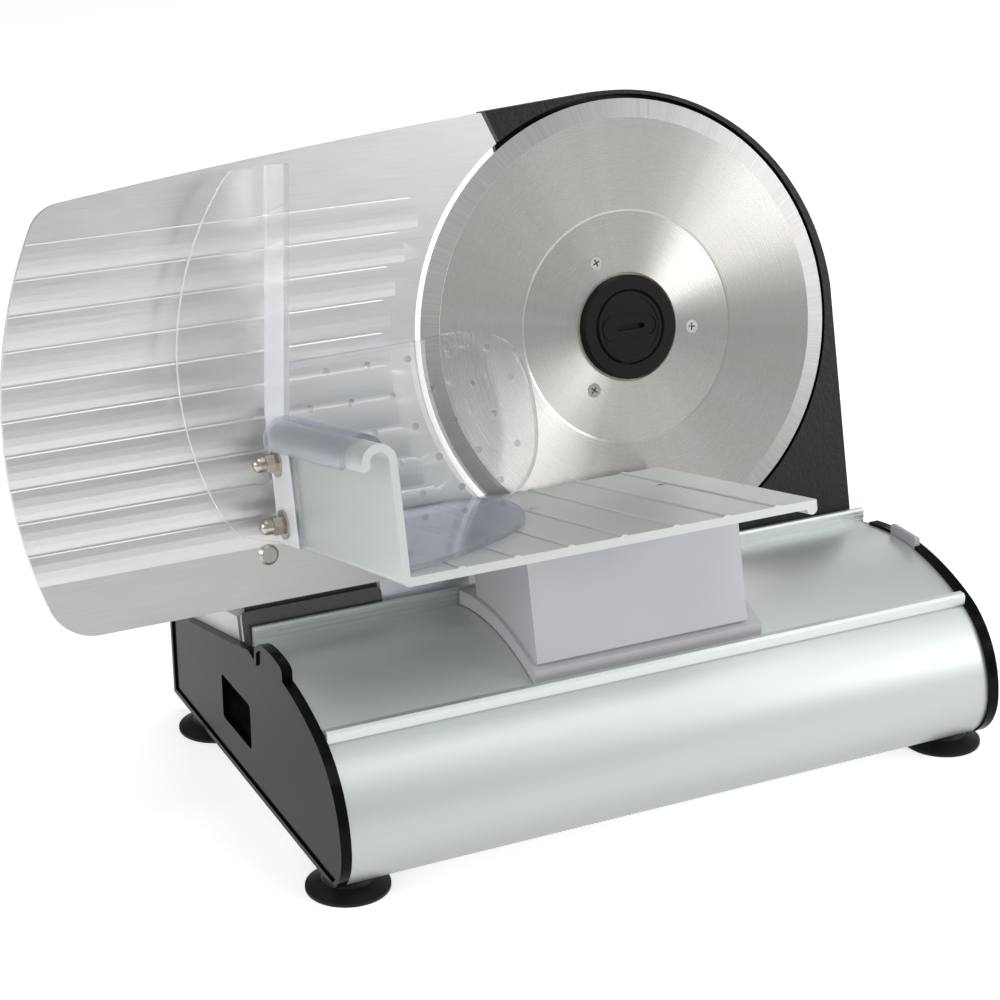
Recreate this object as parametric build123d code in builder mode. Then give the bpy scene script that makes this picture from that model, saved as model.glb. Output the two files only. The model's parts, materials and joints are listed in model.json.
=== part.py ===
from build123d import *
from math import cos, pi, radians, sin
import os

# Gravity-feed deli slicer, in millimetres.  +X runs along the base to the operator's right,
# +Y to the rear and +Z up; the floor is Z = 0 and the origin is under the middle of the
# overall box.  The blade, the thickness plate and the food carriage share one frame that
# leans back by TILT: u runs along +X, v up the blade's face and w out of it, towards the
# operator.  The base is drawn in y (from its front foot line) and z (from the floor).

os.makedirs("parts", exist_ok=True)

# --- driving dimensions -------------------------------------------------------------------
TILT = 13.2
BASE_LEFT = -124.48
BASE_FRONT = -102.58
BASE_LENGTH = 339.2
BASE_DEPTH = 213.8
FOOT_HEIGHT = 10.0
CAP_THICK = 4.0
SHELL_THICK = 2.4
BLADE_RADIUS = 110.0
BLADE_X = 212.9
BLADE_Y = 130.2
BLADE_Z = 196.8
BLADE_PHASE = -7.4
RUNNING_GAP = 0.05
FREE_GAP = 0.4

BLADE = Plane(
    origin=(BASE_LEFT + BLADE_X, BASE_FRONT + BLADE_Y, BLADE_Z),
    x_dir=(1, 0, 0),
    z_dir=(0, -cos(radians(TILT)), sin(radians(TILT))),
)


def facing(w):
    """Plane parallel to the blade's face: sketch x is u, sketch y is v, normal is +w."""
    return BLADE.offset(w)


def across(u):
    """Plane square to the base's length: sketch x is w, sketch y is v, normal is -X."""
    return Plane(origin=BLADE.from_local_coords((u, 0, 0)), x_dir=BLADE.z_dir, z_dir=(-1, 0, 0))


def level(v):
    """Plane parallel to the tray: sketch x is u, sketch y is w, normal points down."""
    return Plane(origin=BLADE.from_local_coords((0, v, 0)), x_dir=(1, 0, 0), z_dir=-BLADE.y_dir)


def station(x):
    """Upright plane across the base: sketch x is y, sketch y is z, normal is +X."""
    return Plane(origin=(BASE_LEFT + x, BASE_FRONT, 0), x_dir=(0, 1, 0), z_dir=(1, 0, 0))


def floor_plane(z):
    """Level plane over the base's footprint: sketch x and y from its front left corner."""
    return Plane(origin=(BASE_LEFT, BASE_FRONT, z))


def save(builder, name):
    """Label a finished sub-part and write its STEP file."""
    builder.part.label = name
    export_step(builder.part, f"parts/{name}.step")


def deck_z(y):
    """Height of the rear deck's top, a plane square to the blade, at depth y."""
    return BLADE_Z + (DECK_V - sin(radians(TILT)) * (y - BLADE_Y)) / cos(radians(TILT))


# --- base: extrusions, plate, end caps and feet ----------------------------------------------
DECK_V = -119.5
SPLIT_Y = 102.6
RAIL_FRONT_Y = 13.5
RAIL_TOP_Z = 77.4
RAIL_UNDER_Z = 71.2
CROWN_START = (20.5, 74.0)
CROWN_MIDDLE = (62.0, 84.8)
CROWN_END = (SPLIT_Y, 81.6)
BELLY = (-9.5, 34.0)
REAR_RAIL_TOP = 89.8
REAR_RAIL_THICK = 2.6


def base_outline():
    """Closed outline of the base, drawn clockwise from the front foot line."""
    with BuildLine() as outline:
        ThreePointArc((0, FOOT_HEIGHT), (-7.4, 20.0), BELLY)
        ThreePointArc(BELLY, (-1.0, 57.5), (RAIL_FRONT_Y + 1.2, RAIL_UNDER_Z))
        Polyline(
            (RAIL_FRONT_Y + 1.2, RAIL_UNDER_Z),
            (RAIL_FRONT_Y, RAIL_UNDER_Z + 0.8),
            (RAIL_FRONT_Y, RAIL_TOP_Z - 1.2),
            (RAIL_FRONT_Y + 1.2, RAIL_TOP_Z),
            (RAIL_FRONT_Y + 4.2, RAIL_TOP_Z),
            CROWN_START,
        )
        ThreePointArc(CROWN_START, CROWN_MIDDLE, CROWN_END)
        Polyline(
            CROWN_END,
            (SPLIT_Y, deck_z(SPLIT_Y)),
            (BASE_DEPTH, deck_z(BASE_DEPTH)),
            (BASE_DEPTH, FOOT_HEIGHT),
            (0, FOOT_HEIGHT),
        )
    return outline.line


def extrusion_section(low_y, high_y):
    """Part of the base's hollow section between two depths, open underneath."""
    make_face(base_outline().edges())
    offset(amount=-SHELL_THICK, mode=Mode.SUBTRACT)
    with Locations((BASE_DEPTH / 2, FOOT_HEIGHT)):
        Rectangle(BASE_DEPTH - 2 * SHELL_THICK - 3, 2 * SHELL_THICK + 0.5, mode=Mode.SUBTRACT)
    with Locations(((low_y + high_y) / 2, 60)):
        Rectangle(high_y - low_y, 140, mode=Mode.INTERSECT)


BUTTON_Y = 68.0
BUTTON_WIDTH = 21.0
BUTTON_DEPTH = 3.0
BUTTON_X = BASE_LENGTH - 2.3
BUTTON_FOOT_Z = 76.0
BUTTON_TOP_Z = 90.4


def button_slot():
    """Opening that the power button stands in, a little larger than the button."""
    with Locations((BUTTON_X, BUTTON_Y)):
        Rectangle(BUTTON_DEPTH + 2 * FREE_GAP, BUTTON_WIDTH + 2 * FREE_GAP)


with BuildPart() as front_extrusion:
    with BuildSketch(station(CAP_THICK)):
        extrusion_section(-30, SPLIT_Y - 0.02)
    extrude(amount=BASE_LENGTH - 2 * CAP_THICK)
    with BuildSketch(floor_plane(BUTTON_FOOT_Z - 6)):
        button_slot()
    extrude(amount=30, mode=Mode.SUBTRACT)
save(front_extrusion, "front_extrusion")

with BuildPart() as rear_extrusion:
    with BuildSketch(station(CAP_THICK)):
        extrusion_section(SPLIT_Y, BASE_DEPTH + 10)
        with BuildLine():
            Polyline(
                (SPLIT_Y, 74.0),
                (SPLIT_Y, REAR_RAIL_TOP - 1.0),
                (SPLIT_Y + 1.0, REAR_RAIL_TOP),
                (SPLIT_Y + REAR_RAIL_THICK, REAR_RAIL_TOP),
                (SPLIT_Y + REAR_RAIL_THICK, 74.0),
                close=True,
            )
        make_face()
        with Locations((SPLIT_Y, 84.6), (SPLIT_Y, 87.2)):
            Rectangle(1.0, 0.8, mode=Mode.SUBTRACT)
    extrude(amount=BASE_LENGTH - 2 * CAP_THICK)
save(rear_extrusion, "rear_extrusion")

PLATE_Z = FOOT_HEIGHT
FOOT_INSET_X = 12.0
FOOT_FRONT_Y = 15.0
FOOT_REAR_Y = 187.6
STUD_RADIUS = 3.0
FOOT_PLACES = {
    "front_left": (FOOT_INSET_X, FOOT_FRONT_Y),
    "front_right": (BASE_LENGTH - FOOT_INSET_X, FOOT_FRONT_Y),
    "rear_left": (FOOT_INSET_X, FOOT_REAR_Y),
    "rear_right": (BASE_LENGTH - FOOT_INSET_X, FOOT_REAR_Y),
}

with BuildPart() as base_plate:
    with BuildSketch(floor_plane(PLATE_Z)):
        with Locations((BASE_LENGTH / 2, BASE_DEPTH / 2)):
            RectangleRounded(BASE_LENGTH - 2 * CAP_THICK - 0.6, BASE_DEPTH - 2 * SHELL_THICK - 4, 3)
        with Locations(*FOOT_PLACES.values()):
            Circle(STUD_RADIUS + 0.2, mode=Mode.SUBTRACT)
        with Locations((180, 105)):
            with GridLocations(12, 0, 8, 1):
                SlotOverall(60, 4, rotation=90, mode=Mode.SUBTRACT)
    extrude(amount=2.2)
save(base_plate, "base_plate")

for place, (foot_x, foot_y) in FOOT_PLACES.items():
    with BuildPart() as foot:
        foot_section = Plane(
            origin=(BASE_LEFT + foot_x, BASE_FRONT + foot_y, 0), x_dir=(1, 0, 0), z_dir=(0, -1, 0)
        )
        with BuildSketch(foot_section):
            with BuildLine():
                Polyline((0, 2.4), (10, 2.0), (16.5, 0.0), (19.1, 0.0), (19.1, 1.4), (12.0, 5.0))
                Line((12.0, 5.0), (9.5, FOOT_HEIGHT))
                Polyline(
                    (9.5, FOOT_HEIGHT),
                    (STUD_RADIUS, FOOT_HEIGHT),
                    (STUD_RADIUS, FOOT_HEIGHT + 8.5),
                    (0, FOOT_HEIGHT + 8.5),
                    (0, 2.4),
                )
            make_face()
        revolve(axis=Axis(foot_section.origin, (0, 0, 1)))
    save(foot, f"foot_{place}")

with BuildPart() as foot_nuts:
    with BuildSketch(floor_plane(PLATE_Z + 2.2)):
        with Locations(*FOOT_PLACES.values()):
            RegularPolygon(radius=5.8, side_count=6)
            Circle(STUD_RADIUS + 0.06, mode=Mode.SUBTRACT)
    extrude(amount=4.5)
save(foot_nuts, "foot_nuts")

RECESS_LOW = (101.6, 29.1)
RECESS_SIZE = (39.2, 22.9)


def cap_outline(with_stop):
    """Closed outline of an end cap; the left one has a raised stop over the crown."""
    with BuildLine() as outline:
        ThreePointArc((-1.0, FOOT_HEIGHT), (-9.0, 20.0), (-11.2, 34.0))
        ThreePointArc((-11.2, 34.0), (-2.6, 58.5), (12.6, 72.6))
        if with_stop:
            ThreePointArc((12.6, 72.6), (30.0, 79.9), (53.5, 85.4))
            Polyline((53.5, 85.4), (53.5, 90.4), (56.5, 91.9))
            ThreePointArc((56.5, 91.9), (68.0, 92.9), (78.5, 92.2))
            Polyline((78.5, 92.2), (84.0, 90.6), (89.0, 87.0), (89.8, 80.4), (97.4, 82.4))
        else:
            ThreePointArc((12.6, 72.6), (50.0, 84.9), (97.4, 84.4))
            Line((97.4, 84.4), (97.4, 82.4))
        Polyline(
            (97.4, 82.4),
            (118.0, deck_z(118.0) - 0.1),
            (BASE_DEPTH - 2.0, deck_z(BASE_DEPTH - 2.0) - 0.1),
            (BASE_DEPTH + 1.2, deck_z(BASE_DEPTH) - 3.0),
            (BASE_DEPTH + 1.2, FOOT_HEIGHT),
            (-1.0, FOOT_HEIGHT),
        )
    return outline.line


BOSS_PLACES = [(12.0, 30.0), (40.0, 64.0), (158.0, 46.0), (203.0, 24.0)]

RIM_WIDTH = 2.6
RIM_HEIGHT = 1.0

for side, cap_x, inward in (("left", 0.0, 1), ("right", BASE_LENGTH, -1)):
    with BuildPart() as end_cap:
        with BuildSketch(station(cap_x)):
            make_face(cap_outline(side == "left").edges())
        extrude(amount=inward * CAP_THICK)
        with BuildSketch(station(cap_x)):
            make_face(cap_outline(side == "left").edges())
            offset(amount=-RIM_WIDTH, mode=Mode.SUBTRACT)
        extrude(amount=-inward * RIM_HEIGHT)
        with BuildSketch(station(cap_x + inward * CAP_THICK)):
            with Locations(*BOSS_PLACES):
                Circle(4.5)
                Circle(1.6, mode=Mode.SUBTRACT)
        extrude(amount=inward * 14)
        if side == "left":
            with BuildSketch(station(0)):
                with Locations(RECESS_LOW):
                    RectangleRounded(*RECESS_SIZE, 2.5, align=(Align.MIN, Align.MIN))
            extrude(amount=CAP_THICK, mode=Mode.SUBTRACT)
        else:
            with BuildSketch(floor_plane(BUTTON_FOOT_Z - 6)):
                button_slot()
            extrude(amount=30, mode=Mode.SUBTRACT)
    save(end_cap, f"{side}_end_cap")

# --- power button and its switch ---------------------------------------------------------------
BUTTON_TRAVEL = 2.5
SWITCH_TOP_Z = 67.0
SPRING_COIL = 3.4
SPRING_WIRE = 0.45
SPRING_X = BASE_LENGTH - 10.2
SWITCH_SIZE = (10.0, 22.0)

with BuildPart() as power_button:
    with BuildSketch(floor_plane(BUTTON_FOOT_Z)):
        with Locations((BUTTON_X, BUTTON_Y)):
            Rectangle(BUTTON_DEPTH, BUTTON_WIDTH)
    extrude(amount=BUTTON_TOP_Z - BUTTON_FOOT_Z)
    button_top = power_button.faces().sort_by(Axis.Z)[-1]
    fillet(button_top.edges(), radius=1.2)
    with BuildSketch(floor_plane(BUTTON_FOOT_Z)):
        with Locations((BUTTON_X - 6.0, BUTTON_Y)):
            Rectangle(12.0, BUTTON_WIDTH)
    extrude(amount=5.2)
save(power_button, "power_button")

SPRING_START = (
    BASE_LEFT + SPRING_X + SPRING_COIL,
    BASE_FRONT + BUTTON_Y,
    SWITCH_TOP_Z + SPRING_WIRE,
)
SPRING_HEIGHT = BUTTON_FOOT_Z - SWITCH_TOP_Z - 2 * SPRING_WIRE

with BuildPart() as button_spring:
    with BuildLine() as coil_line:
        Helix(
            pitch=SPRING_HEIGHT / 4,
            height=SPRING_HEIGHT,
            radius=SPRING_COIL,
            center=(BASE_LEFT + SPRING_X, BASE_FRONT + BUTTON_Y, SWITCH_TOP_Z + SPRING_WIRE),
        )
    with BuildSketch(Plane(origin=SPRING_START, z_dir=coil_line.line % 0)):
        Circle(SPRING_WIRE)
    sweep(is_frenet=True)
save(button_spring, "button_spring")

with BuildPart() as power_switch:
    with BuildSketch(floor_plane(SWITCH_TOP_Z - 14)):
        with Locations((SPRING_X, BUTTON_Y)):
            Rectangle(*SWITCH_SIZE)
    extrude(amount=14)
    with BuildSketch(floor_plane(SWITCH_TOP_Z)):
        with Locations((SPRING_X, BUTTON_Y)):
            Circle(2.0)
    extrude(amount=BUTTON_FOOT_Z - SWITCH_TOP_Z - BUTTON_TRAVEL - 0.2)
    with BuildSketch(floor_plane(SWITCH_TOP_Z - 20)):
        with Locations((SPRING_X, BUTTON_Y - 7), (SPRING_X, BUTTON_Y), (SPRING_X, BUTTON_Y + 7)):
            Rectangle(0.8, 4)
    extrude(amount=6)
save(power_switch, "power_switch")

with BuildPart() as switch_bracket:
    with BuildSketch(floor_plane(SWITCH_TOP_Z - 21)):
        with Locations((SPRING_X, BUTTON_Y)):
            Rectangle(SWITCH_SIZE[0] + 2, SWITCH_SIZE[1] + 6)
            Rectangle(*SWITCH_SIZE, mode=Mode.SUBTRACT)
    extrude(amount=18)
    with BuildSketch(floor_plane(PLATE_Z + 2.2)):
        with Locations((SPRING_X, BUTTON_Y - 12.5), (SPRING_X, BUTTON_Y + 12.5)):
            Rectangle(SWITCH_SIZE[0] + 2, 3)
    extrude(amount=SWITCH_TOP_Z - 3 - PLATE_Z - 2.2)
save(switch_bracket, "switch_bracket")

# --- blade guard, blade and its drive ---------------------------------------------------------------
POCKET_RADIUS = BLADE_RADIUS + 2.2
GUARD_FRONT = -2.6
GUARD_FLOOR = -9.5
GUARD_BACK = -13.0
GUARD_SIDE = 117.0
GUARD_OPENING = 44.0
COVER_SCREW_PLACES = [(-20.0, -50.0), (-20.0, 50.0), (106.0, -108.0), (100.0, 30.0)]
COVER_SCREW_RADIUS = 1.5


def guard_outline():
    """Outline of the blade guard's rim: a beak over the plate, an arc and a straight side."""
    with BuildLine() as outline:
        Polyline((-46, 40), (-57.5, 93.5), (-64.0, 110.6), (-8.0, 113.9))
        ThreePointArc((-8.0, 113.9), (81.2, 81.2), (116.6, 6.0))
        Polyline(
            (116.6, 6.0), (GUARD_SIDE, DECK_V), (-24.0, DECK_V), (-40.0, -100.0), (-46, 40)
        )
    return outline.line


with BuildPart() as blade_guard:
    with BuildSketch(facing(GUARD_BACK)):
        make_face(guard_outline().edges())
        Circle(98.0)
        Circle(GUARD_OPENING, mode=Mode.SUBTRACT)
    extrude(amount=GUARD_FRONT - GUARD_BACK)
    with BuildSketch(facing(GUARD_FLOOR)):
        Circle(POCKET_RADIUS)
    extrude(amount=20, mode=Mode.SUBTRACT)
    with BuildSketch(facing(GUARD_BACK)):
        with Locations(*COVER_SCREW_PLACES):
            Circle(COVER_SCREW_RADIUS + RUNNING_GAP)
    extrude(amount=2.6, mode=Mode.SUBTRACT)
save(blade_guard, "blade_guard")

BEVEL_RADIUS = 101.0
TURNED_RADIUS = 57.0
BLADE_BORE = 26.6
BLADE_SEAT = -4.2
EDGE_W = -1.6


def spin_profile():
    """Plane through the blade's axis: sketch x is the radius, sketch y is w."""
    return Plane(origin=BLADE.origin, x_dir=(1, 0, 0), z_dir=-BLADE.y_dir)


BLADE_AXIS = Axis(BLADE.origin, BLADE.z_dir)
SCREW_CIRCLE = 35.5
SCREW_HEAD = 3.3

with BuildPart() as blade:
    with BuildSketch(spin_profile()):
        with BuildLine():
            Polyline(
                (BLADE_BORE, BLADE_SEAT),
                (60.0, BLADE_SEAT),
                (BEVEL_RADIUS, EDGE_W - 0.3),
                (BLADE_RADIUS, EDGE_W - 0.1),
                (BLADE_RADIUS, EDGE_W),
                (BEVEL_RADIUS, 0.0),
                (TURNED_RADIUS, -2.5),
                (TURNED_RADIUS - 1.0, -2.7),
                (BLADE_BORE, -2.7),
                close=True,
            )
        make_face()
    revolve(axis=BLADE_AXIS)
    with Locations(facing(-2.7)):
        with PolarLocations(SCREW_CIRCLE, 3, start_angle=BLADE_PHASE):
            CounterSinkHole(1.7, SCREW_HEAD + 0.15, depth=4, counter_sink_angle=90)
save(blade, "blade")

GEAR_TEETH = 40
GEAR_MODULE = 2.0
GEAR_PITCH = GEAR_TEETH * GEAR_MODULE / 2
GEAR_FRONT = -38.0
GEAR_BACK = -46.0
GEAR_MID = (GEAR_FRONT + GEAR_BACK) / 2
AXLE_RADIUS = 6.0
BUSH_RADIUS = 9.0

with BuildPart() as blade_gear:
    with BuildSketch(spin_profile()):
        with BuildLine():
            Polyline(
                (BUSH_RADIUS, GEAR_BACK),
                (16.0, GEAR_BACK),
                (16.0, GEAR_MID - 2),
                (33.0, GEAR_MID - 2),
                (33.0, GEAR_BACK),
                (GEAR_PITCH - 2.5, GEAR_BACK),
                (GEAR_PITCH - 2.5, GEAR_FRONT),
                (33.0, GEAR_FRONT),
                (33.0, GEAR_MID + 2),
                (18.0, GEAR_MID + 2),
                (18.0, -14.0),
                (40.0, -8.4),
                (40.0, BLADE_SEAT),
                (12.5, BLADE_SEAT),
                (12.5, -12.0),
                (BUSH_RADIUS, -12.0),
                close=True,
            )
        make_face()
    revolve(axis=BLADE_AXIS)
    with BuildSketch(facing(GEAR_BACK)):
        with PolarLocations(GEAR_PITCH, GEAR_TEETH):
            Polygon(
                (-3.0, -2.0), (0.0, -1.25), (1.8, -0.7), (1.8, 0.7), (0.0, 1.25), (-3.0, 2.0),
                align=None,
            )
    extrude(amount=GEAR_FRONT - GEAR_BACK)
    with Locations(facing(BLADE_SEAT)):
        with PolarLocations(SCREW_CIRCLE, 3, start_angle=BLADE_PHASE):
            Hole(1.4, depth=4)
save(blade_gear, "blade_gear")

with BuildPart() as blade_screws:
    with Locations(facing(-2.75)):
        with PolarLocations(SCREW_CIRCLE, 3, start_angle=BLADE_PHASE):
            Cone(1.35, SCREW_HEAD, 1.4, align=(Align.CENTER, Align.CENTER, Align.MAX))
            Cylinder(1.35, 5.0, align=(Align.CENTER, Align.CENTER, Align.MAX))
    with BuildSketch(facing(-2.75)):
        with PolarLocations(SCREW_CIRCLE, 3, start_angle=BLADE_PHASE):
            Rectangle(3.6, 0.7)
            Rectangle(0.7, 3.6)
    extrude(amount=-1.1, taper=12, mode=Mode.SUBTRACT)
save(blade_screws, "blade_screws")

RING_OUTER = 25.4
RING_INNER = 18.1

with BuildPart() as hub_ring:
    with BuildSketch(spin_profile()):
        with BuildLine():
            Polyline(
                (RING_INNER, BLADE_SEAT),
                (RING_OUTER, BLADE_SEAT),
                (RING_OUTER, -0.6),
                (RING_OUTER - 1.0, 0.3),
                (RING_INNER + 0.6, 0.3),
                (RING_INNER, -0.2),
                close=True,
            )
        make_face()
    revolve(axis=BLADE_AXIS)
save(hub_ring, "hub_ring")

with BuildPart() as hub_lock:
    with BuildSketch(spin_profile()):
        with BuildLine():
            Polyline(
                (0, -11.4),
                (5.4, -11.4),
                (5.4, -3.8),
                (RING_INNER - 0.4, -3.8),
                (RING_INNER - 0.4, -0.3),
                (RING_INNER - 1.0, 0.3),
                (RING_INNER - 2.6, 0.3),
                (RING_INNER - 3.2, -0.1),
                (0, -0.1),
                close=True,
            )
        make_face()
    revolve(axis=BLADE_AXIS)
    with BuildSketch(facing(-0.1)):
        SlotOverall(30.0, 12.5)
        SlotOverall(28.0, 10.5, mode=Mode.SUBTRACT)
    extrude(amount=0.45)
    with BuildSketch(facing(0.6)):
        SlotOverall(15.5, 2.6)
    extrude(amount=-2.9, mode=Mode.SUBTRACT)
    with BuildSketch(facing(-10.8)):
        Rectangle(21.0, 4.0)
    extrude(amount=2.4)
save(hub_lock, "hub_lock")

with BuildPart() as gear_bush:
    with BuildSketch(facing(GEAR_BACK)):
        Circle(BUSH_RADIUS)
        Circle(AXLE_RADIUS + RUNNING_GAP, mode=Mode.SUBTRACT)
    extrude(amount=-14.0 - GEAR_BACK)
save(gear_bush, "gear_bush")

BRACKET_FRONT = -50.0
BRACKET_BACK = -56.0

with BuildPart() as blade_axle:
    with BuildSketch(facing(BRACKET_BACK - 4)):
        Circle(AXLE_RADIUS)
    extrude(amount=-13.0 - (BRACKET_BACK - 4))
    with BuildSketch(facing(BRACKET_BACK - 4)):
        RegularPolygon(radius=9, side_count=6)
    extrude(amount=4)
save(blade_axle, "blade_axle")

with BuildPart() as axle_bracket:
    with BuildSketch(facing(BRACKET_BACK)):
        with BuildLine():
            Polyline((-47, -28), (-47, 28), (24, 50), (38, 40), (38, -34), (20, -50), close=True)
        make_face()
        Circle(AXLE_RADIUS, mode=Mode.SUBTRACT)
        with Locations((-18, 20), (-18, -20), (18, 20), (18, -20)):
            Circle(7.0, mode=Mode.SUBTRACT)
    extrude(amount=BRACKET_FRONT - BRACKET_BACK)
    with BuildSketch(facing(BRACKET_FRONT)):
        with Locations((-44, 24), (-44, -24), (26, 43.5), (22, -44.5)):
            Circle(5.0)
    extrude(amount=GUARD_BACK - BRACKET_FRONT)
save(axle_bracket, "axle_bracket")

# --- motor and worm ---------------------------------------------------------------------------------
WORM_PITCH_RADIUS = 7.75
WORM_U = GEAR_PITCH + WORM_PITCH_RADIUS
WORM_ROOT = 5.4
WORM_TIP = 9.4
WORM_LEAD = pi * GEAR_MODULE
MOTOR_RADIUS = 24.0
MOTOR_LOW_V = -114.0
MOTOR_HIGH_V = -50.0
SHAFT_RADIUS = 3.0
BEARING_V = 20.0


def motor_level(v):
    """Plane square to the motor's axis at height v, its origin on that axis, normal up."""
    return Plane(
        origin=BLADE.from_local_coords((WORM_U, v, GEAR_MID)), x_dir=(1, 0, 0), z_dir=BLADE.y_dir
    )


THREAD_TURNS = 3.5
THREAD_FOOT = motor_level(-THREAD_TURNS / 2 * WORM_LEAD).origin

with BuildPart() as worm_shaft:
    with BuildSketch(motor_level(MOTOR_LOW_V + 3)):
        Circle(SHAFT_RADIUS)
    extrude(amount=BEARING_V + 6 - MOTOR_LOW_V - 3)
    with BuildSketch(motor_level(-16.5)):
        Circle(WORM_ROOT)
    extrude(amount=33)
    with BuildLine() as thread_line:
        Helix(
            pitch=WORM_LEAD,
            height=THREAD_TURNS * WORM_LEAD,
            radius=WORM_PITCH_RADIUS,
            center=THREAD_FOOT,
            direction=BLADE.y_dir,
        )
    thread_start = thread_line.line @ 0
    with BuildSketch(
        Plane(
            origin=thread_start, x_dir=thread_start - THREAD_FOOT, z_dir=thread_line.line % 0
        )
    ):
        with BuildLine():
            Polyline((-3.0, -1.2), (1.6, -0.55), (1.6, 0.55), (-3.0, 1.2), close=True)
        make_face()
    sweep(path=thread_line.line, is_frenet=True)
save(worm_shaft, "worm_shaft")

with BuildPart() as armature:
    with BuildSketch(motor_level(-100)):
        Circle(17.0)
        with PolarLocations(15.0, 9):
            Rectangle(7.0, 2.4, mode=Mode.SUBTRACT)
        Circle(SHAFT_RADIUS, mode=Mode.SUBTRACT)
    extrude(amount=32)
    with BuildSketch(motor_level(-68)):
        Circle(9.0)
        Circle(SHAFT_RADIUS, mode=Mode.SUBTRACT)
    extrude(amount=10)
save(armature, "armature")

BEARING_RADIUS = 7.0
BEARING_PLACES = (MOTOR_LOW_V + 2.5, MOTOR_HIGH_V - 5.0, BEARING_V)

with BuildPart() as motor_can:
    with BuildSketch(motor_level(MOTOR_LOW_V)):
        Circle(MOTOR_RADIUS)
    extrude(amount=MOTOR_HIGH_V - MOTOR_LOW_V)
    with BuildSketch(motor_level(MOTOR_LOW_V + 8)):
        Circle(MOTOR_RADIUS - 4.0)
    extrude(amount=MOTOR_HIGH_V - MOTOR_LOW_V - 14, mode=Mode.SUBTRACT)
    with BuildSketch(motor_level(MOTOR_LOW_V + 2.5)):
        Circle(BEARING_RADIUS)
    extrude(amount=60, mode=Mode.SUBTRACT)
    with BuildSketch(motor_level(MOTOR_HIGH_V - 8)):
        Circle(BEARING_RADIUS)
    extrude(amount=20, mode=Mode.SUBTRACT)
save(motor_can, "motor_can")

with BuildPart() as motor_bearings:
    for bearing_v in BEARING_PLACES:
        with BuildSketch(motor_level(bearing_v)):
            Circle(BEARING_RADIUS)
            Circle(SHAFT_RADIUS + RUNNING_GAP, mode=Mode.SUBTRACT)
        extrude(amount=5)
save(motor_bearings, "motor_bearings")

with BuildPart() as bearing_block:
    with BuildSketch(motor_level(BEARING_V)):
        with Locations((0, GEAR_MID - GUARD_BACK)):
            Rectangle(18.5, GUARD_BACK - GEAR_MID + 11, align=(Align.CENTER, Align.MIN))
        Circle(BEARING_RADIUS, mode=Mode.SUBTRACT)
    extrude(amount=5)
save(bearing_block, "bearing_block")

with BuildPart() as motor_clamp:
    for clamp_v in (MOTOR_LOW_V + 12, MOTOR_HIGH_V - 22):
        with BuildSketch(motor_level(clamp_v)):
            Circle(MOTOR_RADIUS + 3)
            with Locations((0, GEAR_MID - GUARD_BACK)):
                Rectangle(40, GUARD_BACK - GEAR_MID, align=(Align.CENTER, Align.MIN))
            Circle(MOTOR_RADIUS, mode=Mode.SUBTRACT)
        extrude(amount=8)
save(motor_clamp, "motor_clamp")

COVER_BACK = -75.0
COVER_WALL = 2.5


def cover_outline():
    """Outline of the housing behind the blade guard, round the gear and down over the motor."""
    with BuildLine() as outline:
        Line((-20.0, DECK_V + 0.5), (112.0, DECK_V + 0.5))
        Line((112.0, DECK_V + 0.5), (112.0, 6.0))
        ThreePointArc((112.0, 6.0), (98.0, 42.0), (72.0, 58.0))
        Line((72.0, 58.0), (10.0, 60.0))
        ThreePointArc((10.0, 60.0), (-60.0, 6.0), (-20.0, -58.0))
        Line((-20.0, -58.0), (-20.0, DECK_V + 0.5))
    return outline.line


with BuildPart() as motor_cover:
    with BuildSketch(facing(COVER_BACK)):
        make_face(cover_outline().edges())
    extrude(amount=GUARD_BACK - COVER_BACK)
    with BuildSketch(facing(COVER_BACK + COVER_WALL)):
        make_face(cover_outline().edges())
        offset(amount=-COVER_WALL, mode=Mode.INTERSECT)
    extrude(amount=GUARD_BACK - COVER_BACK, mode=Mode.SUBTRACT)
    with BuildSketch(facing(COVER_BACK)):
        with Locations(*COVER_SCREW_PLACES):
            Circle(4.0)
    extrude(amount=GUARD_BACK - COVER_BACK)
    with BuildSketch(facing(COVER_BACK)):
        with Locations(*COVER_SCREW_PLACES):
            Circle(COVER_SCREW_RADIUS + RUNNING_GAP)
        with Locations((46, -85)):
            with GridLocations(0, 7, 1, 6):
                SlotOverall(50, 3)
    extrude(amount=GUARD_BACK - COVER_BACK, mode=Mode.SUBTRACT)
    fillet(motor_cover.faces().sort_by(Axis(BLADE.origin, BLADE.z_dir))[0].outer_wire().edges(), 2.0)
save(motor_cover, "motor_cover")

with BuildPart() as cover_screws:
    with BuildSketch(facing(COVER_BACK - 2.2)):
        with Locations(*COVER_SCREW_PLACES):
            Circle(3.4)
    extrude(amount=2.2)
    with BuildSketch(facing(COVER_BACK)):
        with Locations(*COVER_SCREW_PLACES):
            Circle(COVER_SCREW_RADIUS)
    extrude(amount=GUARD_BACK - COVER_BACK + 2.5)
    with BuildSketch(facing(COVER_BACK - 2.2)):
        with Locations(*COVER_SCREW_PLACES):
            Rectangle(4.0, 0.8)
            Rectangle(0.8, 4.0)
    extrude(amount=1.4, mode=Mode.SUBTRACT)
save(cover_screws, "cover_screws")

GLAND_X = 300.0
GLAND_Z = 36.0

with BuildPart() as cord_gland:
    gland_plane = Plane(
        origin=(BASE_LEFT + GLAND_X, BASE_FRONT + BASE_DEPTH, GLAND_Z),
        x_dir=(1, 0, 0),
        z_dir=(0, 1, 0),
    )
    with BuildSketch(gland_plane):
        Circle(9.0)
    extrude(amount=2.5)
    with BuildSketch(gland_plane.offset(2.5)):
        Circle(6.5)
    extrude(amount=9, taper=4)
    with BuildSketch(gland_plane):
        Circle(3.6)
    extrude(amount=20, mode=Mode.SUBTRACT)
save(cord_gland, "cord_gland")

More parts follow.
